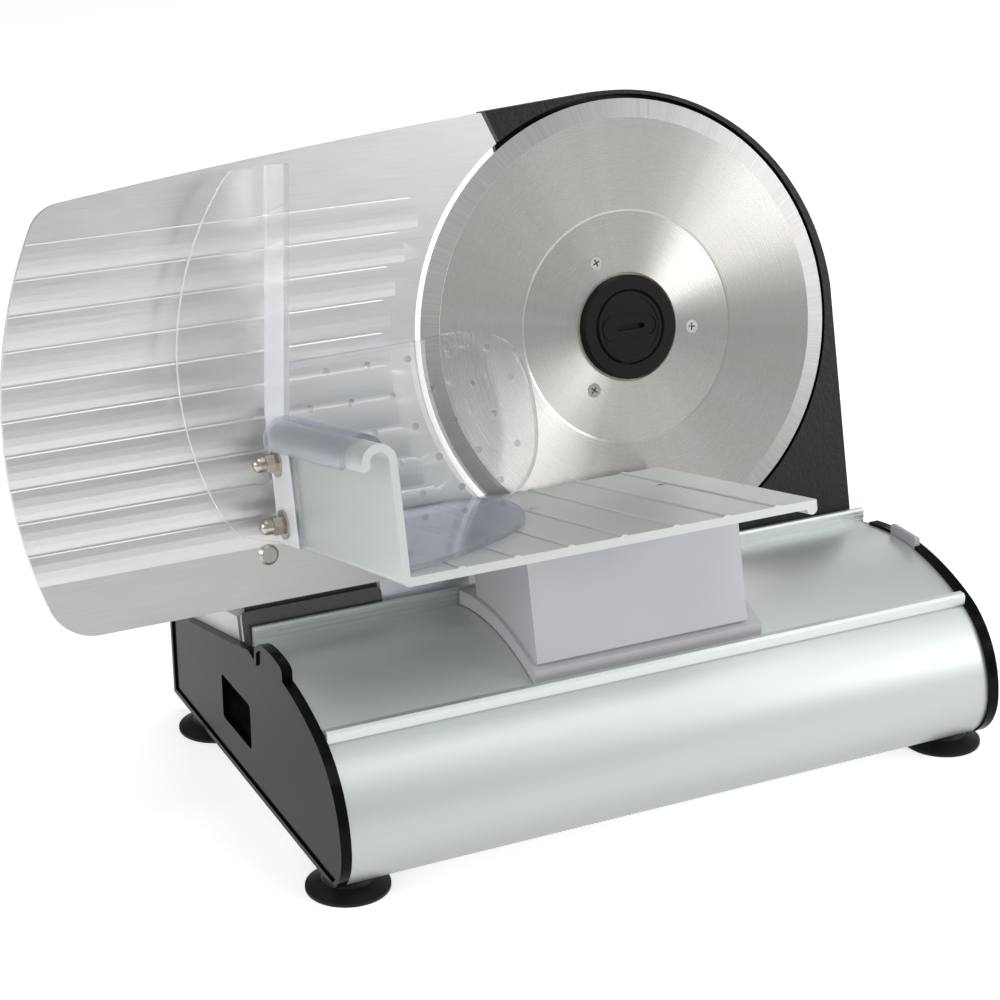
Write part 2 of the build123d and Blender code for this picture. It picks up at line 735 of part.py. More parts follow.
# --- thickness plate, its carrier and the adjusting screw ------------------------------------------
PLATE_FRONT = -1.7
PLATE_BACK = -4.7
PLATE_ARC = 112.6
PLATE_BOW = 21.8
PLATE_TOP_RIGHT = (-66.5, 110.1)
PLATE_TOP_LEFT = (-281.0, 90.5)
PLATE_LOW_LEFT = (-294.0, -100.6)
PLATE_LOW_RIGHT = (-66.0, -100.6)
RIB_COUNT = 10
RIB_PITCH = 15.08
RIB_TOP_V = 75.4
RIB_CORNER = 4.6
RIB_HEIGHT = 1.1
RIB_ARC = 126.2
RIVET_PLACES = [(-196.1, -78.5), (-160.0, -78.5)]
RIVET_SHANK = 2.5
RIVET_HEAD = 4.9
PLATE_TRAVEL = 15.0


def arc_u(radius, v):
    """Left-hand u of a circle about the blade's centre at height v."""
    return -((radius**2 - v**2) ** 0.5)


def left_edge_u(v):
    """Left-hand edge of the thickness plate at height v, bowed out by BOW at mid-height."""
    along = (v - PLATE_LOW_LEFT[1]) / (PLATE_TOP_LEFT[1] - PLATE_LOW_LEFT[1])
    straight = PLATE_LOW_LEFT[0] + along * (PLATE_TOP_LEFT[0] - PLATE_LOW_LEFT[0])
    return straight - 4 * PLATE_BOW * along * (1 - along)


with BuildSketch(facing(PLATE_BACK)) as plate_shape:
    with BuildLine():
        ThreePointArc(PLATE_TOP_RIGHT, (-150.0, 104.0), PLATE_TOP_LEFT)
        ThreePointArc(PLATE_TOP_LEFT, (-309.3, 2.0), PLATE_LOW_LEFT)
        Line(PLATE_LOW_LEFT, PLATE_LOW_RIGHT)
        Line(PLATE_LOW_RIGHT, (-66.0, -91.2))
        ThreePointArc((-66.0, -91.2), (-PLATE_ARC, 0), (-60.3, 95.1))
        Line((-60.3, 95.1), PLATE_TOP_RIGHT)
    plate_face = make_face()
    fillet(plate_face.vertices().sort_by_distance((*PLATE_TOP_LEFT, 0))[0], 18)
    fillet(plate_face.vertices().sort_by_distance((*PLATE_LOW_LEFT, 0))[0], 22)

with BuildPart() as plate_ribs:
    with BuildSketch(across(-60.0)):
        for rib in range(RIB_COUNT):
            step_v = RIB_TOP_V - RIB_PITCH * rib
            with BuildLine():
                Polyline(
                    (PLATE_FRONT - 0.2, step_v - RIB_PITCH),
                    (PLATE_FRONT - 0.2, step_v),
                    (PLATE_FRONT + RIB_HEIGHT - 0.3, step_v),
                    (PLATE_FRONT + RIB_HEIGHT, step_v - 0.5),
                )
                ThreePointArc(
                    (PLATE_FRONT + RIB_HEIGHT, step_v - 0.5),
                    (PLATE_FRONT + 0.93 * RIB_HEIGHT, step_v - 0.47 * RIB_PITCH),
                    (PLATE_FRONT - 0.2, step_v - RIB_PITCH),
                )
            make_face()
    extrude(amount=260)
    with BuildSketch(facing(PLATE_FRONT - 1)):
        for rib in range(RIB_COUNT):
            step_v = RIB_TOP_V - RIB_PITCH * rib
            rib_end = arc_u(RIB_ARC, step_v - RIB_CORNER)
            with BuildLine():
                Polyline(
                    (rib_end, step_v - RIB_PITCH), (-320.0, step_v - RIB_PITCH), (-320.0, step_v),
                    (rib_end - RIB_CORNER, step_v),
                )
                RadiusArc(
                    (rib_end - RIB_CORNER, step_v), (rib_end, step_v - RIB_CORNER), RIB_CORNER
                )
                Line((rib_end, step_v - RIB_CORNER), (rib_end, step_v - RIB_PITCH))
            make_face()
    extrude(amount=4, mode=Mode.INTERSECT)
    extrude(plate_shape.sketch, amount=PLATE_FRONT - PLATE_BACK + 4, mode=Mode.INTERSECT)

with BuildPart() as thickness_plate:
    extrude(plate_shape.sketch, amount=PLATE_FRONT - PLATE_BACK)
    add(plate_ribs.part)
    with BuildSketch(facing(PLATE_BACK)):
        with Locations(*RIVET_PLACES):
            Circle(RIVET_SHANK)
    extrude(amount=PLATE_FRONT - PLATE_BACK, mode=Mode.SUBTRACT)
    with BuildSketch(facing(PLATE_FRONT)):
        with Locations(*RIVET_PLACES):
            Circle(RIVET_HEAD + 0.4)
    extrude(amount=3, mode=Mode.SUBTRACT)
save(thickness_plate, "thickness_plate")

BRACKET_LEAF_BACK = -8.3

with BuildPart() as plate_bracket:
    with BuildSketch(facing(BRACKET_LEAF_BACK)):
        with Locations((-177.0, -88.5)):
            RectangleRounded(66.0, 37.0, 4)
        with Locations((-177.0, -105.0)):
            Rectangle(46.0, 28.0)
        with Locations(*RIVET_PLACES):
            Circle(RIVET_SHANK, mode=Mode.SUBTRACT)
    extrude(amount=PLATE_BACK - BRACKET_LEAF_BACK)
save(plate_bracket, "plate_bracket")

with BuildPart() as plate_rivets:
    with BuildSketch(facing(BRACKET_LEAF_BACK - 1.6)):
        with Locations(*RIVET_PLACES):
            Circle(4.4)
    extrude(amount=1.6)
    with BuildSketch(facing(BRACKET_LEAF_BACK)):
        with Locations(*RIVET_PLACES):
            Circle(RIVET_SHANK)
    extrude(amount=PLATE_FRONT - BRACKET_LEAF_BACK)
    with BuildSketch(facing(PLATE_FRONT)):
        with Locations(*RIVET_PLACES):
            Circle(RIVET_HEAD)
    extrude(amount=1.5, taper=42)
save(plate_rivets, "plate_rivets")

with BuildPart() as carrier_cover:
    with BuildSketch(facing(PLATE_BACK)):
        with BuildLine():
            Polyline((-212.5, -118.8), (-212.5, -103), (-143, -103), (-143, -118.8), close=True)
        cover_face = make_face()
        fillet(cover_face.vertices(), 3.0)
    extrude(amount=2.3)
save(carrier_cover, "carrier_cover")

SCREW_U = -177.0
SCREW_V = -111.5
SCREW_RADIUS = 4.0
SCREW_FRONT = -30.0
CARRIER_BACK = -80.0
NUT_LENGTH = 12.0
NUT_RADIUS = 7.0

with BuildPart() as plate_carrier:
    with BuildSketch(facing(CARRIER_BACK)):
        with BuildLine():
            Polyline(
                (-202.5, -118.9),
                (-202.5, -115.2),
                (-200.0, -115.2),
                (-200.0, -106.0),
                (-198.0, -104.0),
                (-156.0, -104.0),
                (-154.0, -106.0),
                (-154.0, -115.2),
                (-151.5, -115.2),
                (-151.5, -118.9),
                close=True,
            )
        make_face()
    extrude(amount=BRACKET_LEAF_BACK - CARRIER_BACK)
    with BuildSketch(facing(CARRIER_BACK)):
        with Locations((SCREW_U, SCREW_V)):
            Circle(SCREW_RADIUS + 1.0)
    extrude(amount=SCREW_FRONT + PLATE_TRAVEL + 2 - CARRIER_BACK, mode=Mode.SUBTRACT)
    with BuildSketch(facing(CARRIER_BACK)):
        with Locations((SCREW_U, SCREW_V)):
            Circle(NUT_RADIUS)
    extrude(amount=NUT_LENGTH, mode=Mode.SUBTRACT)
save(plate_carrier, "plate_carrier")

with BuildPart() as screw_nut:
    with BuildSketch(facing(CARRIER_BACK)):
        with Locations((SCREW_U, SCREW_V)):
            Circle(NUT_RADIUS)
            Circle(SCREW_RADIUS + RUNNING_GAP, mode=Mode.SUBTRACT)
    extrude(amount=NUT_LENGTH)
save(screw_nut, "screw_nut")

POST_BACK = -108.0
POST_FRONT = -100.0
KNOB_RADIUS = 16.0
KNOB_BACK = -132.0
KNOB_FRONT = -119.0

with BuildPart() as lead_screw:
    with BuildSketch(facing(KNOB_BACK + 4)):
        with Locations((SCREW_U, SCREW_V)):
            Circle(SCREW_RADIUS)
    extrude(amount=SCREW_FRONT - KNOB_BACK - 4)
    chamfer(lead_screw.edges().filter_by(GeomType.CIRCLE), 0.6)
save(lead_screw, "lead_screw")

with BuildPart() as screw_clips:
    for clip_w in (POST_FRONT + 0.4, POST_BACK - 2.4):
        with BuildSketch(facing(clip_w)):
            with Locations((SCREW_U, SCREW_V)):
                Circle(6.6)
                Circle(SCREW_RADIUS, mode=Mode.SUBTRACT)
        extrude(amount=2.0)
save(screw_clips, "screw_clips")

with BuildPart() as screw_post:
    with BuildSketch(facing(POST_BACK)):
        with Locations((SCREW_U, DECK_V)):
            Rectangle(26.0, 17.0, align=(Align.CENTER, Align.MIN))
        with Locations((SCREW_U, SCREW_V)):
            Circle(SCREW_RADIUS + RUNNING_GAP, mode=Mode.SUBTRACT)
    extrude(amount=POST_FRONT - POST_BACK)
save(screw_post, "screw_post")

with BuildPart() as thickness_knob:
    with BuildSketch(facing(KNOB_BACK)):
        with Locations((SCREW_U, SCREW_V)):
            Circle(KNOB_RADIUS)
            with PolarLocations(KNOB_RADIUS + 0.7, 18):
                Circle(1.6, mode=Mode.SUBTRACT)
    extrude(amount=KNOB_FRONT - KNOB_BACK)
    with BuildSketch(facing(KNOB_BACK)):
        with Locations((SCREW_U, SCREW_V + 11.0)):
            Rectangle(1.4, 7.0)
    extrude(amount=0.8, mode=Mode.SUBTRACT)
    with BuildSketch(facing(KNOB_FRONT)):
        with Locations((SCREW_U, SCREW_V)):
            Circle(SCREW_RADIUS)
    extrude(amount=-(KNOB_FRONT - KNOB_BACK - 4), mode=Mode.SUBTRACT)
save(thickness_knob, "thickness_knob")

RAIL_ENDS = (-100.0, -20.2)
RAIL_SIDES = {"left": (-209.0, -203.0, -200.6), "right": (-145.0, -151.0, -153.4)}

with BuildPart() as guide_rails:
    for outer_u, inner_u, lip_u in RAIL_SIDES.values():
        with BuildSketch(facing(RAIL_ENDS[0])):
            with BuildLine():
                Polyline(
                    (outer_u, DECK_V),
                    (outer_u, -108.0),
                    (lip_u, -108.0),
                    (lip_u, -114.5),
                    (inner_u, -114.5),
                    (inner_u, DECK_V),
                    close=True,
                )
            make_face()
        extrude(amount=RAIL_ENDS[1] - RAIL_ENDS[0])
save(guide_rails, "guide_rails")

with BuildPart() as guide_block:
    with BuildSketch(facing(-20.0)):
        with BuildLine():
            Polyline((-142.5, DECK_V), (-142.5, -101.5), (-97.0, -101.5), (-97.0, DECK_V), close=True)
        make_face()
    extrude(amount=15.0)
    chamfer(guide_block.edges().filter_by(Axis(BLADE.origin, BLADE.z_dir)), 0.8)
save(guide_block, "guide_block")

# --- food carriage: tray, pedestal and glide pads ---------------------------------------------------
TRAY_TOP = -69.7
TRAY_THICK = 3.8
TRAY_BACK = 4.0
TRAY_FRONT = 148.5
TRAY_RIGHT = 6.0
BEAD_RADIUS = 2.6
WALL_OUTER = -190.5
WALL_INNER = -187.0
WALL_LOW_TOP = -13.5
WALL_STEP = 36.5
HOOK_CENTRE = (-194.7, -21.2)
HOOK_OUTER = 7.7
HOOK_INNER = 4.2
RIDGE_COUNT = 7
RIDGE_FIRST_U = -164.0
RIDGE_PITCH = 25.0
TRAY_SCREW_PLACES = [(-88.0, 50.0), (-18.0, 50.0)]
TRAY_SCREW_HEAD = 4.7
TRAY_SCREW_RADIUS = 2.0
BOLT_PLACES = [(17.0, -34.0), (17.0, -62.5)]
BOLT_RADIUS = 2.5
BOLT_HEAD = 4.9


def curl(outer, inner, sweep):
    """Closed outline of a curl about the tray wall's rolled edge, from its right-hand side."""
    with BuildLine() as outline:
        outer_arc = CenterArc(HOOK_CENTRE, outer, 0, sweep)
        inner_arc = CenterArc(HOOK_CENTRE, inner, 0, sweep)
        Line(outer_arc @ 0, inner_arc @ 0)
        Line(outer_arc @ 1, inner_arc @ 1)
    return outline.line


def flat_head(head, shank, depth, length, mode):
    """Countersunk screw, or the room for one, from the plane in hand along its normal."""
    upward = (Align.CENTER, Align.CENTER, Align.MIN)
    Cone(head, shank, depth, align=upward, mode=mode)
    Cylinder(shank, length, align=upward, mode=mode)


with BuildPart() as carriage_tray:
    with BuildSketch(facing(TRAY_BACK)):
        with BuildLine():
            Polyline(
                (WALL_OUTER, WALL_LOW_TOP),
                (WALL_INNER, WALL_LOW_TOP),
                (WALL_INNER, TRAY_TOP),
                (TRAY_RIGHT, TRAY_TOP),
                (TRAY_RIGHT, TRAY_TOP - TRAY_THICK),
                (WALL_OUTER, TRAY_TOP - TRAY_THICK),
                close=True,
            )
        tray_face = make_face()
        fillet(tray_face.vertices().sort_by_distance((WALL_OUTER, TRAY_TOP - TRAY_THICK, 0))[0], 3)
        fillet(tray_face.vertices().sort_by_distance((TRAY_RIGHT, TRAY_TOP, 0))[0], 3)
    extrude(amount=TRAY_FRONT - TRAY_BACK)
    with BuildSketch(facing(WALL_STEP)):
        with Locations(((WALL_OUTER + WALL_INNER) / 2, HOOK_CENTRE[1])):
            Rectangle(WALL_INNER - WALL_OUTER, 30, align=(Align.CENTER, Align.MIN))
    extrude(amount=TRAY_FRONT - WALL_STEP, mode=Mode.SUBTRACT)
    with BuildSketch(facing(WALL_STEP)):
        make_face(curl(HOOK_OUTER, HOOK_INNER, 204).edges())
    extrude(amount=TRAY_FRONT - WALL_STEP)
    with BuildSketch(facing(TRAY_BACK)):
        with Locations((TRAY_RIGHT - BEAD_RADIUS, TRAY_TOP - TRAY_THICK)):
            Circle(BEAD_RADIUS)
        for ridge in range(RIDGE_COUNT):
            with Locations((RIDGE_FIRST_U + RIDGE_PITCH * ridge, TRAY_TOP)):
                Ellipse(1.6, 0.7)
    extrude(amount=TRAY_FRONT - TRAY_BACK)
    with Locations(level(TRAY_TOP)):
        with Locations(*TRAY_SCREW_PLACES):
            flat_head(TRAY_SCREW_HEAD + 0.1, TRAY_SCREW_RADIUS + 0.05, 2.7, 8, Mode.SUBTRACT)
    with Locations(across(WALL_INNER)):
        with Locations(*BOLT_PLACES):
            flat_head(BOLT_HEAD + 0.1, BOLT_RADIUS + 0.05, 2.5, 8, Mode.SUBTRACT)
save(carriage_tray, "carriage_tray")

with BuildPart() as tray_screws:
    with Locations(level(TRAY_TOP)):
        with Locations(*TRAY_SCREW_PLACES):
            flat_head(TRAY_SCREW_HEAD, TRAY_SCREW_RADIUS, 2.6, 14, Mode.ADD)
    with BuildSketch(level(TRAY_TOP)):
        with Locations(*TRAY_SCREW_PLACES):
            Rectangle(5.0, 0.9)
            Rectangle(0.9, 5.0)
    extrude(amount=1.5, mode=Mode.SUBTRACT)
save(tray_screws, "tray_screws")

PEDESTAL_LEFT = -104.0
PEDESTAL_RIGHT = 5.0
PEDESTAL_FRONT = 79.5
PEDESTAL_BACK = 19.0
PEDESTAL_WALL = 3.0
SKIRT_OVERHANG = 2.0
SKIRT_RIGHT_OVERHANG = 7.0
SKIRT_FRONT_Y = 20.6
SKIRT_REAR_Y = 101.6
SKIRT_RISE = 7.4
CROWN_GAP = 0.5


def crown_arc(rise):
    """The crown's arc across the base, lifted by rise."""
    return ThreePointArc(
        (CROWN_START[0], CROWN_START[1] + rise),
        (CROWN_MIDDLE[0], CROWN_MIDDLE[1] + rise),
        (CROWN_END[0], CROWN_END[1] + rise),
    )


def crown_band(low, high):
    """Closed outline of the strip between two heights over the base's crown."""
    with BuildLine() as outline:
        low_arc = crown_arc(low)
        high_arc = crown_arc(high)
        Line(low_arc @ 0, high_arc @ 0)
        Line(low_arc @ 1, high_arc @ 1)
    return outline.line


def keep_between(front_y, rear_y):
    """Trim the sketch in hand to the strip between two depths."""
    with Locations(((front_y + rear_y) / 2, 90)):
        Rectangle(rear_y - front_y, 240, mode=Mode.INTERSECT)


COLUMN_TOP = TRAY_TOP - TRAY_THICK
COLUMN_LOW = -134.5
SKIRT_LEFT = PEDESTAL_LEFT - 2.0
SKIRT_RIGHT = PEDESTAL_RIGHT + 7.0

with BuildPart() as pedestal:
    with BuildSketch(across(PEDESTAL_LEFT)):
        with Locations((PEDESTAL_BACK, COLUMN_LOW)):
            Rectangle(
                PEDESTAL_FRONT - PEDESTAL_BACK, COLUMN_TOP - COLUMN_LOW, align=(Align.MIN, Align.MIN)
            )
    extrude(amount=PEDESTAL_LEFT - PEDESTAL_RIGHT)
    with BuildSketch(across(PEDESTAL_LEFT + PEDESTAL_WALL)):
        with Locations((PEDESTAL_BACK + PEDESTAL_WALL, COLUMN_LOW)):
            Rectangle(
                PEDESTAL_FRONT - PEDESTAL_BACK - 2 * PEDESTAL_WALL,
                COLUMN_TOP - COLUMN_LOW - PEDESTAL_WALL,
                align=(Align.MIN, Align.MIN),
            )
    extrude(amount=PEDESTAL_LEFT - PEDESTAL_RIGHT + 2 * PEDESTAL_WALL, mode=Mode.SUBTRACT)
    with BuildSketch(station(BLADE_X + SKIRT_LEFT)):
        make_face(crown_band(-60, CROWN_GAP).edges())
    extrude(amount=SKIRT_RIGHT - SKIRT_LEFT, mode=Mode.SUBTRACT)
    with BuildSketch(station(BLADE_X + SKIRT_LEFT)):
        make_face(crown_band(CROWN_GAP, SKIRT_RISE).edges())
        keep_between(SKIRT_FRONT_Y, SKIRT_REAR_Y)
    extrude(amount=SKIRT_RIGHT - SKIRT_LEFT)
    with BuildSketch(station(BLADE_X + SKIRT_LEFT + PEDESTAL_WALL)):
        make_face(crown_band(-60, SKIRT_RISE - PEDESTAL_WALL).edges())
        keep_between(SKIRT_FRONT_Y + PEDESTAL_WALL, SKIRT_REAR_Y - PEDESTAL_WALL)
    extrude(amount=SKIRT_RIGHT - SKIRT_LEFT - 2 * PEDESTAL_WALL, mode=Mode.SUBTRACT)
    with BuildSketch(level(COLUMN_TOP)):
        with Locations(*TRAY_SCREW_PLACES):
            Circle(5.0)
    extrude(amount=14)
    with BuildSketch(level(COLUMN_TOP)):
        with Locations(*TRAY_SCREW_PLACES):
            Circle(TRAY_SCREW_RADIUS + 0.05)
    extrude(amount=14, mode=Mode.SUBTRACT)
    with BuildSketch(facing(TRAY_BACK)):
        with Locations((TRAY_RIGHT - BEAD_RADIUS, COLUMN_TOP)):
            Circle(BEAD_RADIUS)
    extrude(amount=TRAY_FRONT - TRAY_BACK, mode=Mode.SUBTRACT)
save(pedestal, "pedestal")

PAD_GAP = 0.35
PAD_LENGTH = 16.0
PAD_WIDTH = 8.0

with BuildPart() as glide_pads:
    for pad_u in (SKIRT_LEFT + PEDESTAL_WALL, SKIRT_RIGHT - PEDESTAL_WALL - PAD_LENGTH):
        for pad_y in (SKIRT_FRONT_Y + PEDESTAL_WALL, SKIRT_REAR_Y - PEDESTAL_WALL - PAD_WIDTH):
            with BuildSketch(station(BLADE_X + pad_u)):
                make_face(crown_band(PAD_GAP, SKIRT_RISE - PEDESTAL_WALL).edges())
                keep_between(pad_y, pad_y + PAD_WIDTH)
            extrude(amount=PAD_LENGTH)
save(glide_pads, "glide_pads")

# --- thumb guard and food pusher ------------------------------------------------------------------------
GUARD_THICK = 2.5
GUARD_SHEET_W = 5.5
GUARD_FLANGE_W = 34.0
FLANGE_GAP = 0.1
FLANGE_OUTER = WALL_OUTER - GUARD_THICK - FLANGE_GAP
FLANGE_LOW = (FLANGE_OUTER, -72.0)
FLANGE_BEND = (FLANGE_OUTER, -12.0)
FLANGE_TOP = (-179.5, 98.0)

with BuildPart() as thumb_guard:
    with BuildSketch(facing(GUARD_SHEET_W)):
        with BuildLine():
            Polyline(FLANGE_LOW, FLANGE_BEND, FLANGE_TOP, (-195.0, 97.0), (-198.7, 93.6))
            ThreePointArc((-198.7, 93.6), (-230.8, 10.0), (-218.0, -57.0))
            Polyline((-218.0, -57.0), (-211.0, -66.6), (-201.0, -69.8), FLANGE_LOW)
        make_face()
    extrude(amount=GUARD_THICK)
    with BuildSketch(facing(GUARD_SHEET_W)):
        with BuildLine():
            Polyline(
                FLANGE_LOW,
                FLANGE_BEND,
                FLANGE_TOP,
                (FLANGE_TOP[0] + GUARD_THICK, FLANGE_TOP[1]),
                (WALL_OUTER - FLANGE_GAP, FLANGE_BEND[1] - 0.2),
                (WALL_OUTER - FLANGE_GAP, FLANGE_LOW[1]),
                close=True,
            )
        make_face()
    extrude(amount=GUARD_FLANGE_W - GUARD_SHEET_W)
    with BuildSketch(across(WALL_OUTER)):
        with Locations(*BOLT_PLACES):
            Circle(BOLT_RADIUS + RUNNING_GAP)
    extrude(amount=GUARD_THICK + 2 * FLANGE_GAP, mode=Mode.SUBTRACT)
save(thumb_guard, "thumb_guard")

WASHER_THICK = 1.0
NUT_SEAT = FLANGE_OUTER - WASHER_THICK
ACORN_HEX = 4.6
ACORN_HEIGHT = 5.0
ACORN_DOME = 3.5

with BuildPart() as guard_bolts:
    with Locations(across(WALL_INNER)):
        with Locations(*BOLT_PLACES):
            flat_head(BOLT_HEAD, BOLT_RADIUS, 2.4, WALL_INNER - NUT_SEAT + 6, Mode.ADD)
    with BuildSketch(across(WALL_INNER)):
        with Locations(*BOLT_PLACES):
            RegularPolygon(radius=1.9, side_count=6)
    extrude(amount=2.0, mode=Mode.SUBTRACT)
save(guard_bolts, "guard_bolts")

with BuildPart() as guard_washers:
    with BuildSketch(across(FLANGE_OUTER)):
        with Locations(*BOLT_PLACES):
            Circle(6.8)
            Circle(BOLT_RADIUS + RUNNING_GAP, mode=Mode.SUBTRACT)
    extrude(amount=WASHER_THICK)
save(guard_washers, "guard_washers")

with BuildPart() as guard_nuts:
    with BuildSketch(across(NUT_SEAT)):
        with Locations(*BOLT_PLACES):
            RegularPolygon(radius=ACORN_HEX, side_count=6)
    extrude(amount=ACORN_HEIGHT)
    with Locations(across(NUT_SEAT - ACORN_HEIGHT)):
        with Locations(*BOLT_PLACES):
            Cylinder(ACORN_DOME, 2.5, align=(Align.CENTER, Align.CENTER, Align.MIN))
    with Locations(across(NUT_SEAT - ACORN_HEIGHT - 2.5)):
        with Locations(*BOLT_PLACES):
            Sphere(ACORN_DOME)
    with BuildSketch(across(NUT_SEAT)):
        with Locations(*BOLT_PLACES):
            Circle(BOLT_RADIUS + RUNNING_GAP)
    extrude(amount=6.5, mode=Mode.SUBTRACT)
save(guard_nuts, "guard_nuts")

SLEEVE_INNER = 8.1
SLEEVE_OUTER = 10.3
SLEEVE_END = 130.0
PUSHER_BACK = 10.0
PUSHER_PLATE = 3.0
SIDE_FRONT = 118.0
SIDE_LOW = -66.0
FOOT_LOW = -68.6
SPIKE_LENGTH = 4.0
SPIKE_PITCH_U = 20.2
SPIKE_PITCH_V = 15.8
SPIKE_TOP_V = 2.2
SPIKE_ROWS = 5
SPIKE_ALIGN = (Align.CENTER, Align.CENTER, Align.MIN)

PUSHER_RIM = 1.8
PUSHER_RIM_HEIGHT = 1.0


def pusher_outline(inset):
    """Outline of the pusher's plate: straight against the tray wall, rounded on the right."""
    with BuildLine() as outline:
        right = Spline(
            (-115.5, 10.2 - inset),
            (-86.0, 9.7 - inset),
            (-71.0 - 0.7 * inset, 2.6 - 0.7 * inset),
            (-63.6 - inset, -12.0),
            (-61.0 - inset, -32.0),
            (-64.2 - inset, -54.0),
            (-69.6 - 0.8 * inset, -62.8 + 0.5 * inset),
            (-79.0, FOOT_LOW + inset),
        )
        Polyline(
            right @ 1,
            (-186.6 + inset, FOOT_LOW + inset),
            (-186.6 + inset, 5.0 - inset / 2),
            (-184.4 + inset, 9.2 - inset),
            right @ 0,
        )
    return outline.line


with BuildPart() as food_pusher:
    with BuildSketch(facing(WALL_STEP)):
        make_face(curl(SLEEVE_OUTER, SLEEVE_INNER, 200).edges())
    extrude(amount=SLEEVE_END - WALL_STEP)
    with BuildSketch(facing(PUSHER_BACK)):
        with Locations((HOOK_CENTRE[0] + SLEEVE_INNER, SIDE_LOW - 1)):
            Rectangle(
                SLEEVE_OUTER - SLEEVE_INNER,
                HOOK_CENTRE[1] - SIDE_LOW + 1,
                align=(Align.MIN, Align.MIN),
            )
    extrude(amount=SIDE_FRONT - PUSHER_BACK)
    with BuildSketch(facing(PUSHER_BACK)) as pusher_face:
        make_face(pusher_outline(0.0).edges())
    extrude(amount=PUSHER_PLATE)
    with BuildSketch(facing(PUSHER_BACK + PUSHER_PLATE)):
        make_face(pusher_outline(0.0).edges())
        make_face(pusher_outline(PUSHER_RIM).edges(), mode=Mode.SUBTRACT)
    extrude(amount=PUSHER_RIM_HEIGHT)
    with BuildSketch(level(SIDE_LOW - 0.6)):
        with BuildLine():
            foot_curve = Spline(
                (-183.0, 140.0), (-159.0, 131.5), (-137.0, 118.0), (-114.0, 97.5),
                (-99.0, 72.0), (-90.0, 12.5),
            )
            Polyline(foot_curve @ 0, (-186.6, 140.0), (-186.6, 12.5), foot_curve @ 1)
        make_face()
    extrude(amount=2.0)
    with Locations(facing(PUSHER_BACK)):
        for row in range(SPIKE_ROWS):
            row_start = -162.2 if row % 2 == 0 else -172.0
            spike_count = 5 if row % 2 == 0 else 6
            for column in range(spike_count):
                spike_u = row_start + SPIKE_PITCH_U * column
                with Locations((spike_u, SPIKE_TOP_V - SPIKE_PITCH_V * row)):
                    Cone(1.7, 0.35, SPIKE_LENGTH, rotation=(180, 0, 0), align=SPIKE_ALIGN)
save(food_pusher, "food_pusher")
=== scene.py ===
import json
import math

import bmesh
import bpy
from mathutils import Euler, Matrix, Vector


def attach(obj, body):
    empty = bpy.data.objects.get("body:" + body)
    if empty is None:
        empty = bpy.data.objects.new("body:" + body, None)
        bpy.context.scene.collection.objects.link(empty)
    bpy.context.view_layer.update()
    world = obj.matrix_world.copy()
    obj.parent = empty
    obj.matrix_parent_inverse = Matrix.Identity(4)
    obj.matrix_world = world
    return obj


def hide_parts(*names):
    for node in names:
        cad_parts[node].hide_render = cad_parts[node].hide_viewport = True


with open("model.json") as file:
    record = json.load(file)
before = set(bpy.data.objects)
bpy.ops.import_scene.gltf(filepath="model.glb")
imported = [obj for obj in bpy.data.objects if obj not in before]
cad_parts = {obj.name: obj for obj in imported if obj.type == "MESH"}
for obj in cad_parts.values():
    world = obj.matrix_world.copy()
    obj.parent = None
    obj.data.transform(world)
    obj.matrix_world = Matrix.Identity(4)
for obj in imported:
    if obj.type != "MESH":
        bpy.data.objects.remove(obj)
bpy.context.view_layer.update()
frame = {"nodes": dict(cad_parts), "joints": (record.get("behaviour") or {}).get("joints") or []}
NODES = frame["nodes"]
PIECES = dict(NODES)  # the objects that show; a replaced node gives way to its replacement

# --- frames taken from the CAD ---
TILT = math.radians(13.2)
JOINTS = {joint["name"]: joint for joint in frame["joints"]}
BLADE_CENTRE = Vector(JOINTS["blade_spin"]["pos_m"])
U_AXIS = Vector((1, 0, 0))
V_AXIS = Vector((0, math.sin(TILT), math.cos(TILT)))
W_AXIS = Vector((0, -math.cos(TILT), math.sin(TILT)))
BLADE_TURN = (math.pi / 2 - TILT, 0, 0)


def at(u, v, w):
    """Point in the row frame from millimetres along the blade's axes."""
    return BLADE_CENTRE + (U_AXIS * u + V_AXIS * v + W_AXIS * w) / 1000


